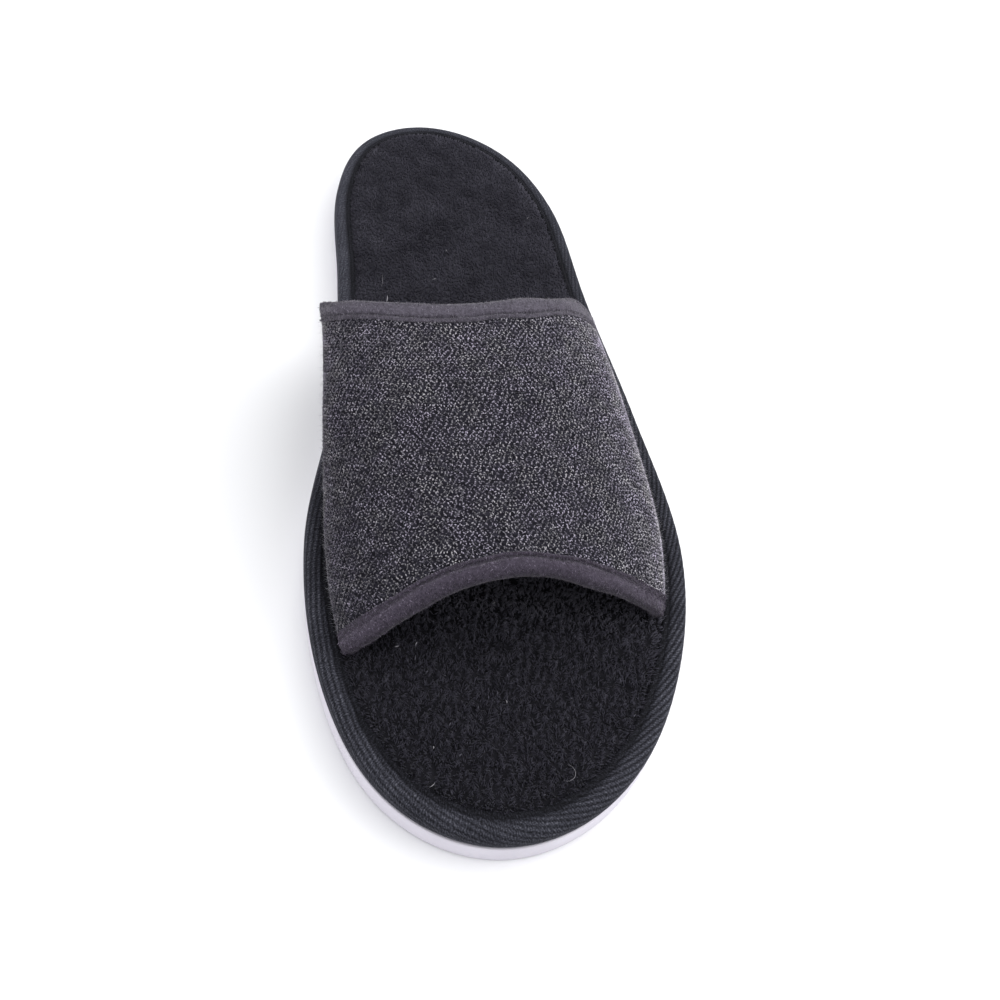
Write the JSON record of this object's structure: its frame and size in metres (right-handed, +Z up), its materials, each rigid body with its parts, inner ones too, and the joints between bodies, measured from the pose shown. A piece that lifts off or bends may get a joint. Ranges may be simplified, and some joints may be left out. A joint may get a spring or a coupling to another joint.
{
  "type": "open-toe slipper",
  "caption": "Flat house slipper for the left foot, open at toe and heel, with a knit band over the instep, a plush footbed bound in twill tape and a pale foam sole.",
  "frame": {"origin": "middle of the bounding box on the floor, under the sole", "axes": "+Z up, +Y towards the heel, -Y towards the toe, -X towards the inner side of the foot"},
  "size_m": [0.1052, 0.2818, 0.0509],
  "materials": {
    "sole_foam": "matt pale closed-cell foam, straight cut side",
    "footbed_plush": "short black plush pile, very matt",
    "edge_tape": "dark twill tape, faint sheen on the ribs",
    "upper_knit": "charcoal heather knit with pale flecks",
    "binding_velour": "brushed velour strip, soft nap"
  },
  "bodies": {
    "root": {"outsole": "sole_foam", "footbed": "footbed_plush", "sole_tape": "edge_tape", "upper": "upper_knit", "throat_binding": "binding_velour", "toe_binding": "binding_velour"}
  },
  "joints": []
}
